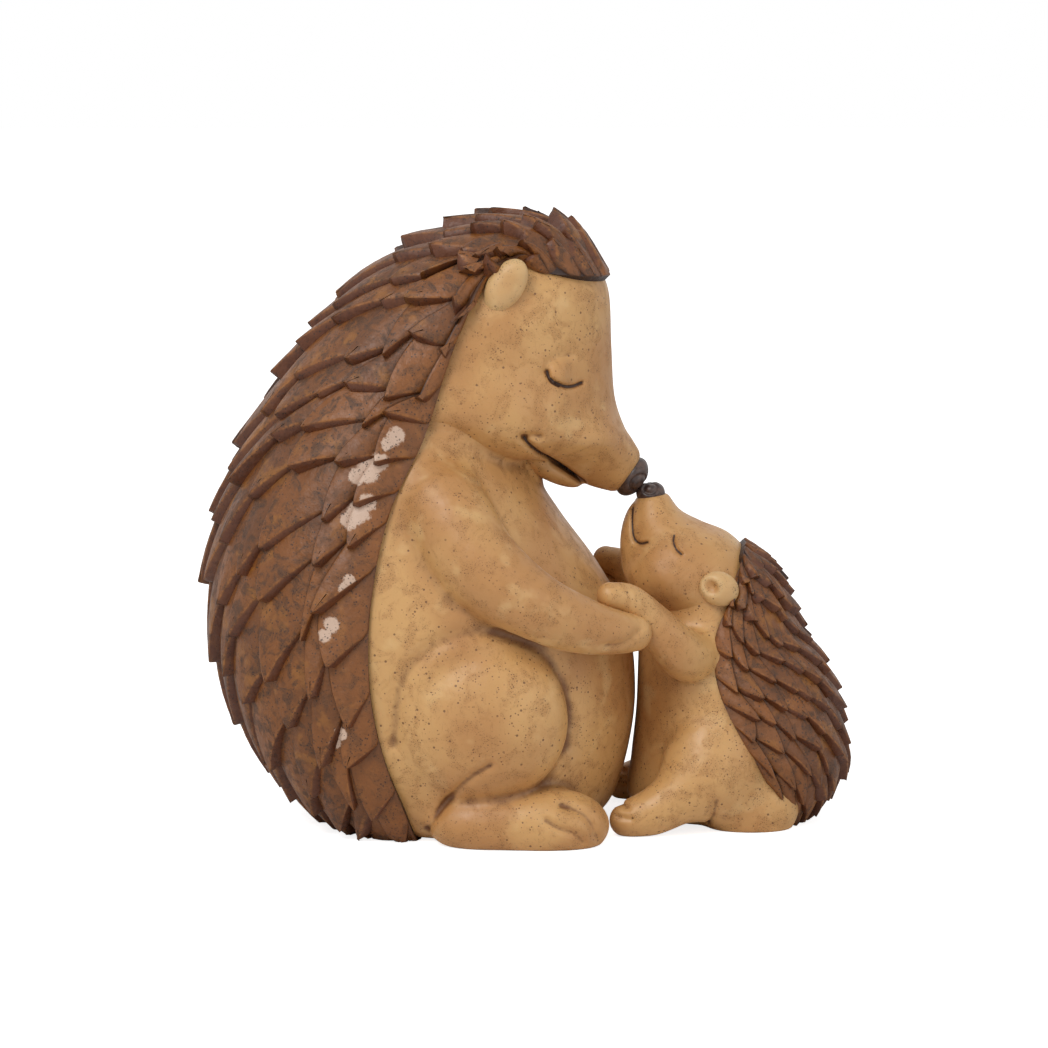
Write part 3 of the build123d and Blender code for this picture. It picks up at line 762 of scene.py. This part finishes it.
# Levels of a plate from its foot up, as shares of the most that each value reaches
# The riser and seam values set where shade is painted
RISER_SHARES = (1, 1, 0.7, 0, 0, 0, 0)
SEAM_LEVEL_SHARES = (1, 1, 0.9, 0.35, 0, 0, 0)
RIDGE_SHARES = (0, 0, 0.6, 1, 0.5, 0, 0)


def plate(shell, coat, corners, side, look, wobble):
    """One closed plate between four places of the lattice.

    They are its tip, the end of its raised side, the end of its inner side and the far corner.
    wobble is how far it is from an even plate, in numbers from -1 to 1.
    """
    tip, across, up, far = corners
    wide, long, _, spread, high, dip, crown, tone = wobble
    shape = OUTLINE_SHARES * (1 + 0.05 * wide, 1 + 0.04 * long)
    sides = len(shape)

    def place(e, f):
        twist = far - across - up + tip
        e, f = np.asarray(e)[..., None], np.asarray(f)[..., None]
        spot = tip + e * (across - tip) + f * (up - tip) + e * f * twist
        return spot[..., 0], side * np.minimum(spot[..., 1], coat.columns)

    # The plate is laid out flat as it measures over half of it, both ways
    start, right_end, upper_end = (
        coat.points(*place(*spot)) for spot in ((0.3, 0.4), (0.8, 0.4), (0.3, 0.9))
    )
    run_across, run_up = (right_end - start) * 2, (upper_end - start) * 2
    length = np.linalg.norm(run_up)
    if length < LEAST_PLATE_LENGTH or np.linalg.norm(run_across) < LEAST_PLATE_WIDTH:
        return
    lean = float(run_across @ run_up) / length
    width = math.sqrt(max(float(run_across @ run_across) - lean**2, 0.5))
    to_flat = np.array([[lean, width], [length, 0.0]])
    to_shares = np.linalg.inv(to_flat)
    flat = shape @ to_flat
    middle = flat.mean(axis=0)
    run = np.roll(flat, -1, axis=0) - np.roll(flat, 1, axis=0)
    outward = np.stack([run[:, 1], -run[:, 0]], axis=1)
    outward /= np.maximum(np.linalg.norm(outward, axis=1, keepdims=True), 1e-9)
    outward *= np.sign((outward * (flat - middle)).sum(axis=1).mean())

    wall = LEAST_WALL + look["wall"] * RAISED_SHARES * (1 + UNEVENNESS_SHARE * spread)
    by_edge = np.clip((tip[1] / coat.columns - 0.45) / 0.4, 0, 1)
    end_share = look["end_share"] + (look["edge_end_share"] - look["end_share"]) * by_edge
    first_rows = np.clip((tip[0] + 1.0) / 4.0, 0.45, 1)
    tip_height = look["tip"] * (1 + UNEVENNESS_SHARE * high) * first_rows
    bevel = look["bevel"]

    def ring(offset, shrink, sink):
        """A ring round the plate: moved out, then drawn in to the middle, and sunk."""
        moved = flat + outward * np.broadcast_to(offset, sides)[:, None]
        moved = middle + (moved - middle) * (1 - shrink)
        e, f = (moved @ to_shares).T
        top = tip_height * (1 + (end_share - 1) * np.clip(e, -0.1, 1.15))
        bulge = look["bulge"] * np.sin(math.pi * np.clip(e, 0, 1)) * np.clip(1 - f, 0, 1)
        rise = look["low"] + top * (1 - f) + bulge - sink
        places = coat.lifted(*place(e, f), rise)
        places[:, 2] = np.maximum(places[:, 2], 0)
        return places, rise

    layers = [
        ring(wall, 0.0, tip_height + 1.0),
        ring(wall * 0.6, 0.0, tip_height * 0.55),
        ring(wall * 0.12, 0.0, 0.3 * bevel + 0.05),
        ring(-0.15, 0.0, 0.1 * bevel),
        ring(-0.6 * bevel, 0.0, 0.0),
        ring(0.0, 0.35, 0.12 * dip),
        ring(0.0, 0.7, 0.16 * crown),
    ]
    top = ring(0.0, 0.97, 0.16 * crown)
    foot = ring(0.0, 0.9, tip_height + 1.2)
    points = [layer[0] for layer in layers] + [top[0].mean(axis=0)[None], foot[0].mean(axis=0)[None]]
    rise = [layer[1] for layer in layers] + [[top[1].mean()], [foot[1].mean()]]

    count = len(layers)
    last = (count - 1) * sides
    top_point, foot_point = count * sides, count * sides + 1
    faces = []
    for i in range(sides):
        j = (i + 1) % sides
        for here in range(0, last, sides):
            faces.append((here + i, here + j, here + sides + j, here + sides + i))
        faces.append((last + i, last + j, top_point))
        faces.append((j, i, foot_point))
    if side * coat.faces_back > 0:
        faces = [face[::-1] for face in faces]

    def by_level(shares, around):
        return np.append(np.outer(shares, around), (0.0, 0.0))

    # The riser, seam and rise values set where shade is painted
    shell.add(
        np.vstack(points),
        faces,
        riser=by_level(RISER_SHARES, RAISED_SHARES),
        seam=by_level(SEAM_LEVEL_SHARES, SEAM_SHARES),
        ridge=by_level(RIDGE_SHARES, RAISED_SHARES),
        tone=0.5 + 0.5 * tone,
        rise=np.concatenate(rise),
        edge=by_edge,
    )


def plated_coat(name, shares, size, look):
    """A coat's sheet and all its plates."""
    coat = Coat(shares, size, look)
    random = np.random.default_rng(look["seed"])
    lattice = Lattice(coat, random, look["climb"], look["jitter"])
    shell = Shell("riser", "seam", "ridge", "tone", "rise", "edge")
    under_skin(shell, coat, look["sheet"])
    for row in range(1, coat.rows + HANGING_ROWS + 1):
        for half_column in range((row + coat.half_columns) % 2, coat.half_columns, 2):
            steps = ((0, 0), (-1, 1), (-2, 0), (-3, 1))
            corners = [lattice.node(row + down, half_column + out) for down, out in steps]
            for side in (1, -1):
                plate(shell, coat, corners, side, look, random.uniform(-1, 1, 8))
    piece = shell.piece(name)
    piece.data.set_sharp_from_angle(angle=math.radians(SHARPEST_FOLD))
    return piece


# Paint. Sizes of patterns are in millimetres.

TAN_WASH = ("#B98650", "#CD9F65")
TAN_MOTTLE = "#A47340"
TAN_PALE = "#DBB57E"
TAN_LIGHT = "#E2C48F"
# Painted shade in the creases
TAN_CREASE_SHADE = "#653A1B"
TAN_STREAKS = "#8A5A2C"
TAN_SPECKS = "#553019"
INK = "#3B2315"

BROWN_WASH = ("#62360F", "#7C4818")
BROWN_MOTTLE = "#452B17"
BROWN_AMBER = "#966024"
BROWN_BY_EDGE = "#8A5322"
BROWN_RUBBED = "#9A6434"
# Painted shade on the risers, over their reddish brown paint
BROWN_RISER_SHADE = "#552811"
BROWN_RIDGE = "#A96C33"
# Painted shade in low places, between and under the plates
BROWN_LOW_SHADE = "#2B150B"
# Painted shade along the seams and on the sheet between the plates
BROWN_SEAM_SHADE = "#29130A"
BROWN_WORN = "#CDB09B"
BROWN_SPECKS = "#221109"

NOSE_WASH = ("#33231F", "#5A443A")

# How light scatters in the tan resin: how much, and how far red, green and blue reach in metres
SCATTER = {
    "Subsurface Weight": 0.12,
    "Subsurface Radius": (0.0025, 0.0014, 0.0007),
    "Subsurface Scale": 1.0,
}

# Where the paint is worn off the mother's coat: x and z in the side view, and the radius. The
# spots lie at one y, and count as flat that way.
WORN_SPOTS = [
    (-35.6, 94.8, 2.4),
    (-38.2, 93.0, 2.8),
    (-41.0, 91.4, 1.9),
    (-38.4, 85.4, 2.2),
    (-40.4, 83.0, 2.8),
    (-42.8, 80.8, 2.0),
    (-31.5, 101.0, 2.2),
    (-33.4, 99.4, 1.6),
    (-42.6, 67.0, 1.5),
    (-44.0, 64.8, 1.4),
    (-47.0, 56.0, 1.9),
    (-48.6, 53.4, 1.6),
    (-45.0, 29.0, 1.6),
    (-46.4, 26.4, 1.4),
]
WORN_Y = -40.0
WORN_FLATNESS_SHARE = 0.12


def linear(code):
    """A colour for a shader from its web code."""
    values = [int(code[i : i + 2], 16) / 255 for i in (1, 3, 5)]
    return [v / 12.92 if v <= 0.04045 else ((v + 0.055) / 1.055) ** 2.4 for v in values] + [1.0]


class Nodes:
    """The nodes of a material or world, and a short way to add one."""

    def __init__(self, owner):
        owner.use_nodes = True
        self.tree = owner.node_tree

    def fill(self, node, inputs):
        """Puts a value in each input that is named, or links an output to it."""
        for key, value in inputs.items():
            if isinstance(value, bpy.types.NodeSocket):
                self.tree.links.new(value, node.inputs[key])
            else:
                node.inputs[key].default_value = value

    def add(self, kind, inputs=None, **settings):
        node = self.tree.nodes.new("ShaderNode" + kind)
        for name, value in settings.items():
            setattr(node, name, value)
        self.fill(node, inputs or {})
        return node


class Paint(Nodes):
    """A material made of patterns."""

    def __init__(self, name):
        self.material = bpy.data.materials.new(name)
        super().__init__(self.material)
        self.place = self.add("TexCoord").outputs["Object"]

    def finished(self, colour, roughness, normal, **others):
        inputs = {"Base Color": colour, "Roughness": roughness, "Normal": normal, **others}
        self.fill(self.tree.nodes["Principled BSDF"], inputs)
        return self.material

    def noise(self, size, detail=3.0, roughness=0.55, distortion=0.0, place=None):
        """Noise from 0 to 1 with features of that size."""
        inputs = {
            "Vector": place or self.place,
            "Scale": 1 / (size * MM),
            "Detail": detail,
            "Roughness": roughness,
            "Distortion": distortion,
        }
        return self.add("TexNoise", inputs).outputs["Fac"]

    def dots(self, size, inner, outer):
        """Dots about that far apart: 1 within the inner share of it, and 0 from the outer."""
        cells = self.add("TexVoronoi", {"Vector": self.place, "Scale": 1 / (size * MM)})
        return self.fade(cells.outputs["Distance"], inner, outer, 1.0, 0.0)

    def stretched(self, scale, turn=(0.0, 0.0, 0.0)):
        """Coordinates for a pattern that is longer one way than another."""
        inputs = {"Vector": self.place, "Scale": scale, "Rotation": turn}
        return self.add("Mapping", inputs).outputs["Vector"]

    def value(self, name):
        """A value that the mesh holds for each point."""
        return self.add("Attribute", attribute_name=name).outputs["Fac"]

    def fade(self, value, low, high, start=0.0, end=1.0):
        """start below low, end above high, and a smooth change between."""
        inputs = {"Value": value, "From Min": low, "From Max": high, "To Min": start, "To Max": end}
        return self.add("MapRange", inputs, interpolation_type="SMOOTHSTEP").outputs["Result"]

    def reckon(self, operation, a, b):
        return self.add("Math", {0: a, 1: b}, operation=operation).outputs["Value"]

    def plus(self, a, b):
        return self.reckon("ADD", a, b)

    def times(self, a, b):
        return self.reckon("MULTIPLY", a, b)

    def larger(self, a, b):
        return self.reckon("MAXIMUM", a, b)

    def patch(self, place, centre, radius, ragged):
        """A patch of about that radius, with an edge that a noise makes ragged."""
        away = self.add("VectorMath", {0: place, 1: centre}, operation="DISTANCE").outputs["Value"]
        edge = self.plus(self.times(away, 1 / (radius * MM)), self.times(ragged, 1.2))
        return self.fade(edge, 1.45, 1.75, 0.9, 0.0)

    def blend(self, share, a, b):
        """Colour a, with that share of colour b. The numbers are those of the colour sockets."""
        return self.add("Mix", {"Factor": share, 6: a, 7: b}, data_type="RGBA").outputs[2]

    def wash(self, share, codes):
        return self.blend(share, linear(codes[0]), linear(codes[1]))

    def over(self, colour, code, share, strength):
        """The colour, with another one over it where the share says, up to that strength."""
        return self.blend(self.times(share, strength), colour, linear(code))

    def bump(self, height, strength, distance, **below):
        inputs = {"Height": height, "Strength": strength, "Distance": distance * MM, **below}
        return self.add("Bump", inputs).outputs["Normal"]


def tan_resin():
    """A tan wash with pale patches, painted shade in the creases, fine streaks, specks and painted
    lines.
    """
    paint = Paint("tan_resin")
    wash = paint.noise(26.0, 2.0, 0.5)
    mottle = paint.noise(5.0, 4.0, 0.62, 0.6)
    pale = paint.noise(9.0, 3.0, 0.5)
    crease = paint.value("crease")
    colour = paint.wash(paint.fade(wash, 0.36, 0.64), TAN_WASH)
    colour = paint.over(colour, TAN_MOTTLE, paint.fade(mottle, 0.44, 0.68), 0.45)
    colour = paint.over(colour, TAN_PALE, paint.fade(pale, 0.56, 0.72), 0.45)
    open_skin = paint.fade(crease, -0.2, 0.15, 0.55, 0.0)
    colour = paint.blend(paint.times(paint.value("light"), open_skin), colour, linear(TAN_LIGHT))
    # Painted shade in the creases, made uneven by the mottle
    crease_shade = paint.plus(crease, paint.times(paint.plus(mottle, -0.5), 0.5))
    colour = paint.over(colour, TAN_CREASE_SHADE, paint.fade(crease_shade, 0.08, 0.6), 0.85)
    streaks = paint.noise(0.8, 3.0, 0.6, 0.4, paint.stretched((1.0, 1.0, 0.22), (0.0, 0.35, 0.0)))
    streaks = paint.times(paint.fade(streaks, 0.60, 0.74), paint.fade(pale, 0.45, 0.6, 0.7, 0.15))
    colour = paint.over(colour, TAN_STREAKS, streaks, 0.45)

    cluster = paint.fade(paint.noise(7.0, 3.0, 0.6), 0.42, 0.60)
    chosen = paint.fade(paint.noise(1.5, 1.0), 0.44, 0.52)
    specks = paint.times(paint.times(paint.dots(0.85, 0.15, 0.27), chosen), cluster)
    large = paint.times(paint.dots(2.6, 0.09, 0.14), 0.9)
    large = paint.times(large, paint.fade(wash, 0.40, 0.50, 0.4, 1.0))
    dust = paint.times(paint.dots(0.42, 0.2, 0.34), 0.75)
    dust = paint.times(dust, paint.fade(mottle, 0.47, 0.62))
    specks = paint.larger(paint.larger(specks, large), dust)
    colour = paint.over(colour, TAN_SPECKS, specks, 0.85)
    line = paint.plus(paint.value("ink"), paint.times(mottle, 0.25))
    colour = paint.blend(paint.fade(line, 0.38, 0.62, 1.0, 0.0), colour, linear(INK))

    lumps = paint.bump(paint.noise(4.0, 3.0, 0.5), 0.35, 0.6)
    grain = paint.reckon("SUBTRACT", paint.noise(0.9, 4.0, 0.65), specks)
    normal = paint.bump(grain, 0.35, 0.14, Normal=lumps)
    return paint.finished(colour, paint.fade(mottle, 0.3, 0.7, 0.38, 0.56), normal, **SCATTER)


def brown_resin():
    """A brown wash, rubbed on the plates' edges, with worn spots, and painted shade between the
    plates, on their risers and along their seams.
    """
    paint = Paint("brown_resin")
    wash = paint.noise(14.0, 3.0, 0.55)
    mottle = paint.noise(3.4, 5.0, 0.66, 0.8)
    amber = paint.noise(8.0, 3.0, 0.6, 0.5)
    rubbed = paint.noise(1.6, 4.0, 0.7, 0.3)
    shade = paint.plus(paint.times(wash, 0.7), paint.times(paint.value("tone"), 0.3))
    colour = paint.wash(paint.fade(shade, 0.34, 0.66), BROWN_WASH)
    colour = paint.over(colour, BROWN_MOTTLE, paint.fade(mottle, 0.46, 0.62), 0.75)
    colour = paint.over(colour, BROWN_AMBER, paint.fade(amber, 0.54, 0.68), 0.6)
    by_edge = paint.fade(paint.value("edge"), 0.3, 1.0)
    by_edge = paint.times(by_edge, paint.fade(wash, 0.3, 0.6, 0.3, 0.8))
    colour = paint.over(colour, BROWN_BY_EDGE, by_edge, 0.6)
    colour = paint.over(colour, BROWN_RUBBED, paint.fade(rubbed, 0.56, 0.72), 0.3)
    # Painted shade on the plates' risers, over their reddish brown paint
    colour = paint.over(colour, BROWN_RISER_SHADE, paint.fade(paint.value("riser"), 0.3, 0.8), 0.75)
    ridge = paint.times(paint.fade(paint.value("ridge"), 0.3, 1.0), paint.fade(rubbed, 0.42, 0.62))
    colour = paint.over(colour, BROWN_RIDGE, ridge, 0.45)
    # Painted shade where a point lies low, between and under the plates, made uneven by the mottle
    low = paint.plus(paint.value("rise"), paint.times(paint.plus(mottle, -0.5), 0.8))
    colour = paint.over(colour, BROWN_LOW_SHADE, paint.fade(low, -0.3, 0.7, 1.0, 0.0), 0.85)
    # Painted shade along the seams at the plates' inner edges, and on the sheet
    colour = paint.over(colour, BROWN_SEAM_SHADE, paint.fade(paint.value("seam"), 0.2, 0.8), 0.85)

    flattened = paint.stretched((1.0, WORN_FLATNESS_SHARE, 1.0))
    worn = 0.0
    for x, z, radius in WORN_SPOTS:
        spot = (x * MM, WORN_Y * WORN_FLATNESS_SHARE * MM, z * MM)
        worn = paint.larger(worn, paint.patch(flattened, spot, radius, rubbed))
    on_top = paint.fade(paint.value("riser"), 0.1, 0.5, 1.0, 0.0)
    colour = paint.over(colour, BROWN_WORN, worn, on_top)

    cluster = paint.fade(paint.noise(5.0, 3.0, 0.6), 0.40, 0.58)
    specks = paint.times(paint.dots(0.9, 0.16, 0.3), cluster)
    dust = paint.times(paint.dots(0.45, 0.2, 0.36), paint.fade(mottle, 0.5, 0.62))
    colour = paint.over(colour, BROWN_SPECKS, paint.larger(specks, dust), 0.85)
    lumps = paint.bump(paint.noise(3.0, 3.0, 0.6), 0.5, 0.8)
    normal = paint.bump(paint.noise(0.6, 4.0, 0.7), 0.4, 0.16, Normal=lumps)
    return paint.finished(colour, paint.fade(mottle, 0.3, 0.7, 0.42, 0.62), normal)


def dark_nose():
    """Nearly black paint with a soft shine."""
    paint = Paint("dark_nose")
    mottle = paint.noise(1.2, 4.0, 0.6)
    colour = paint.wash(paint.fade(mottle, 0.35, 0.7), NOSE_WASH)
    normal = paint.bump(paint.noise(0.5, 3.0, 0.6), 0.3, 0.1)
    return paint.finished(colour, paint.fade(mottle, 0.3, 0.7, 0.28, 0.42), normal)


# Everything is put in its place

paints = {"tan_resin": tan_resin(), "brown_resin": brown_resin(), "dark_nose": dark_nose()}


def dressed(piece, slot, *nodes):
    piece.data.materials.append(paints[slot])
    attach(piece, "root")
    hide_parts(*nodes)


def both_sides(stem, *kinds):
    return [f"{stem}_{side}_{kind}" for kind in kinds for side in ("left", "right")]


for stem, face, body in (("mother", mother_face, mother_body), ("baby", baby_face, baby_body)):
    dressed(face(), "tan_resin", f"{stem}_head", f"{stem}_lower_jaw", *both_sides(stem, "eyelid"))
    dressed(body(), "tan_resin", f"{stem}_torso", *both_sides(stem, "arm", "haunch", "foot"))

for stem, ear, near_side, far_side in (
    ("mother", mother_ear, "right", "left"),
    ("baby", baby_ear, "left", "right"),
):
    near, far = paired(f"{stem}_ear_piece", *ear())
    dressed(near, "tan_resin", f"{stem}_{near_side}_ear")
    dressed(far, "tan_resin", f"{stem}_{far_side}_ear")

dressed(nose("mother_nose_cap", *MOTHER_NOSE), "dark_nose", "mother_nose")
dressed(nose("baby_nose_cap", *BABY_NOSE), "dark_nose", "baby_nose")

for stem, shares, size, look in (
    ("mother", MOTHER_COAT_SHARES, MOTHER_SIZE, MOTHER_LOOK),
    ("baby", BABY_COAT_SHARES, BABY_SIZE, BABY_LOOK),
):
    dressed(plated_coat(f"{stem}_plates", shares, size, look), "brown_resin", f"{stem}_quill_coat")

# The ground that they stand on, the light and the camera, in metres

FLOOR_REACH = 3.0
WHITE = (1.0, 1.0, 1.0, 1.0)
FLOOR_COLOUR = (0.93, 0.93, 0.93, 1.0)
FLOOR_GLOW = 0.8
SKY_STRENGTH = 0.47
BACKDROP_STRENGTH = 1.0
LAMPS_AIM = Vector((0.0, 0.0, 0.07))
CAMERA_AIM = Vector((-0.0005, 0.0, 0.0745))
CAMERA_DISTANCE = 1.2
CAMERA_ELEVATION = math.radians(8.0)
CAMERA_LENS = 164.9
CAMERA_SENSOR = 36.0


def white_ground():
    """Matt white, and bright enough to the camera to leave only the soft shadow."""
    material = bpy.data.materials.new("white_ground")
    nodes = Nodes(material)
    to_camera = nodes.add("LightPath").outputs["Is Camera Ray"]
    glow = nodes.add("Math", {0: to_camera, 1: FLOOR_GLOW}, operation="MULTIPLY")
    inputs = {
        "Base Color": FLOOR_COLOUR,
        "Roughness": 1.0,
        "Specular IOR Level": 0.0,
        "Emission Color": WHITE,
        "Emission Strength": glow.outputs["Value"],
    }
    nodes.fill(nodes.tree.nodes["Principled BSDF"], inputs)
    return material


def white_world():
    """A soft sky that lights the pair, and a white backdrop for the camera and for gloss."""
    world = bpy.data.worlds.new("studio")
    nodes = Nodes(world)
    sky = nodes.tree.nodes["Background"]
    nodes.fill(sky, {"Color": WHITE, "Strength": SKY_STRENGTH})
    backdrop = nodes.add("Background", {"Color": WHITE, "Strength": BACKDROP_STRENGTH})
    rays = nodes.add("LightPath").outputs
    seen = {0: rays["Is Camera Ray"], 1: rays["Is Glossy Ray"]}
    choice = {
        "Fac": nodes.add("Math", seen, operation="MAXIMUM").outputs["Value"],
        1: sky.outputs["Background"],
        2: backdrop.outputs["Background"],
    }
    surface_shader = nodes.add("MixShader", choice).outputs["Shader"]
    nodes.fill(nodes.tree.nodes["World Output"], {"Surface": surface_shader})
    return world


def placed(name, data, place, aim):
    """A lamp or camera at a place, turned to look at its aim."""
    thing = bpy.data.objects.new(name, data)
    thing.location = place
    thing.rotation_euler = (aim - Vector(place)).to_track_quat("-Z", "Y").to_euler()
    bpy.context.scene.collection.objects.link(thing)
    return thing


def lamp(name, place, size, power):
    light = bpy.data.lights.new(name, "AREA")
    light.size = size
    light.energy = power
    placed(name, light, place, LAMPS_AIM)


floor_mesh = bpy.data.meshes.new("floor")
corners = [(FLOOR_REACH * x, FLOOR_REACH * y, 0) for x, y in ((-1, -1), (1, -1), (1, 1), (-1, 1))]
floor_mesh.from_pydata(corners, [], [(0, 1, 2, 3)])
floor_mesh.materials.append(white_ground())
floor = bpy.data.objects.new("floor", floor_mesh)
bpy.context.scene.collection.objects.link(floor)

bpy.context.scene.world = white_world()
lamp("key", place=(-0.45, -0.75, 0.95), size=0.5, power=7.0)
lamp("fill", place=(0.9, -0.8, 0.5), size=0.8, power=2.0)

camera_data = bpy.data.cameras.new("camera")
camera_data.sensor_width = CAMERA_SENSOR
camera_data.lens = CAMERA_LENS
toward_camera = Vector((0, -math.cos(CAMERA_ELEVATION), math.sin(CAMERA_ELEVATION)))
camera_place = CAMERA_AIM + CAMERA_DISTANCE * toward_camera
bpy.context.scene.camera = placed("camera", camera_data, camera_place, CAMERA_AIM)

bpy.context.scene.view_settings.view_transform = "Standard"
